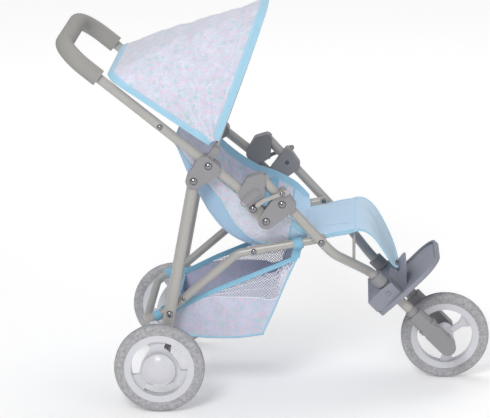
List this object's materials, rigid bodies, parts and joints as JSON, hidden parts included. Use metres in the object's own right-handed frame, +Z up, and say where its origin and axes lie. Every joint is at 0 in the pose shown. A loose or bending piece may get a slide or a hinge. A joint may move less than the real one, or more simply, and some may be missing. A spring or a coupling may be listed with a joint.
{
  "type": "folding doll stroller",
  "caption": "Three-wheeled toy jogging stroller for dolls: tubular folding frame, foam push handle, sling seat, folding sunshade, footplate and under-seat basket.",
  "frame": {"origin": "on the ground, midway between the rearmost point of the grip and the foremost point of the front wheel, on the plane of symmetry", "axes": "+X forward, +Y to the stroller's left, +Z up"},
  "size_m": [0.7152, 0.392, 0.654],
  "materials": {
    "tube": "warm silver-grey painted steel tube",
    "moulding": "mid-grey moulded plastic, slightly rough",
    "footplate": "cool grey moulded plastic with a paler edge",
    "foam": "closed-cell foam grip",
    "rivet": "domed plated rivets and axles",
    "tyre": "grey foam tyre with a mottled tread",
    "rim": "off-white moulded rim",
    "print_cloth": "white and lavender cloth with small pink, green and blue flowers",
    "blue_cloth": "sky-blue woven cloth",
    "webbing": "mid-blue webbing and binding"
  },
  "bodies": {
    "front_frame": {"front_tube_right": "tube", "front_tube_left": "tube", "lock_bracket_right": "moulding", "lock_bracket_left": "moulding", "fold_pins": "rivet", "front_rivets": "rivet", "seat_crease": "blue_cloth", "seat_base": "blue_cloth", "calf_panel": "blue_cloth", "lap_belt": "webbing", "knee_hoop": "tube", "footrest": "footplate", "footrest_screws": "rivet", "tube_saddles": "moulding", "fork_end_right": "moulding", "fork_end_left": "moulding", "front_axle": "rivet", "front_spacers": "moulding"},
    "handle": {"push_handle": "tube", "handle_grip": "foam", "lock_cap_right": "moulding", "lock_cap_left": "moulding", "hinge_plate_right": "tube", "hinge_plate_left": "tube", "leg_bracket_right": "moulding", "leg_bracket_left": "moulding", "canopy_pivot_right": "moulding", "canopy_pivot_left": "moulding", "handle_rivets": "rivet", "leg_pins": "rivet", "canopy_cloth": "print_cloth", "seat_back": "blue_cloth"},
    "canopy_front": {"canopy_bow_front": "tube"},
    "canopy_middle": {"canopy_bow_middle": "tube"},
    "latch_right": {"latch_lever_right": "tube"},
    "latch_left": {"latch_lever_left": "tube"},
    "front_wheel": {"front_tyre": "tyre", "front_rim": "rim", "front_bushes": "moulding"},
    "rear_legs": {"rear_leg_right": "tube", "rear_leg_left": "tube", "axle_block_right": "moulding", "axle_block_left": "moulding", "rear_axle": "rivet", "rear_washers": "rivet", "leg_rivets": "rivet"},
    "rear_wheel_right": {"rear_tyre_right": "tyre", "rear_rim_right": "rim", "rear_hub_cap_right": "rim"},
    "rear_wheel_left": {"rear_tyre_left": "tyre", "rear_rim_left": "rim", "rear_hub_cap_left": "rim"},
    "basket_stay": {"basket_frame": "tube", "stay_clamps": "tube", "stay_rivets": "rivet", "basket": "print_cloth", "basket_loops": "webbing"}
  },
  "joints": [
    {"name": "fold", "type": "hinge", "parent": "front_frame", "child": "handle", "pos_m": [-0.01537, 0, 0.318], "axis": [0, -1, 0], "range_deg": [0, 90], "deforming": ["seat_crease"]},
    {"name": "leg_hinge", "type": "hinge", "parent": "handle", "child": "rear_legs", "pos_m": [-0.13237, 0, 0.38662], "axis": [0, 1, 0], "range_deg": [0, 47.26]},
    {"name": "stay_hinge", "type": "hinge", "parent": "front_frame", "child": "basket_stay", "pos_m": [0.07472, 0, 0.28071], "axis": [0, -1, 0], "range_deg": [0, 56.62]},
    {"name": "canopy_fold", "type": "hinge", "parent": "handle", "child": "canopy_front", "pos_m": [-0.09605, 0, 0.43573], "axis": [0, -1, 0], "range_deg": [0, 60], "deforming": ["canopy_cloth"]},
    {"name": "canopy_middle_fold", "type": "hinge", "parent": "handle", "child": "canopy_middle", "pos_m": [-0.09605, 0, 0.43573], "axis": [0, -1, 0], "range_deg": [0, 52]},
    {"name": "front_wheel_spin", "type": "hinge", "parent": "front_frame", "child": "front_wheel", "pos_m": [0.28263, 0, 0.075], "axis": [0, 1, 0], "continuous": true},
    {"name": "rear_wheel_right_spin", "type": "hinge", "parent": "rear_legs", "child": "rear_wheel_right", "pos_m": [-0.19337, -0.174, 0.075], "axis": [0, 1, 0], "continuous": true},
    {"name": "rear_wheel_left_spin", "type": "hinge", "parent": "rear_legs", "child": "rear_wheel_left", "pos_m": [-0.19337, 0.174, 0.075], "axis": [0, 1, 0], "continuous": true},
    {"name": "latch_right_press", "type": "hinge", "parent": "front_frame", "child": "latch_right", "pos_m": [0.01163, -0.153, 0.366], "axis": [0, 1, 0], "range_deg": [0, 20], "stiffness_Nm_per_rad": 0.05, "springref_deg": -5.73},
    {"name": "latch_left_press", "type": "hinge", "parent": "front_frame", "child": "latch_left", "pos_m": [0.01163, 0.153, 0.366], "axis": [0, 1, 0], "range_deg": [0, 20], "stiffness_Nm_per_rad": 0.05, "springref_deg": -5.73}
  ],
  "couplings": [
    {"joint": "leg_hinge", "follows": "fold", "ratio": 0.5249},
    {"joint": "stay_hinge", "follows": "fold", "ratio": 0.6289},
    {"joint": "canopy_middle_fold", "follows": "canopy_fold", "ratio": 0.86}
  ]
}
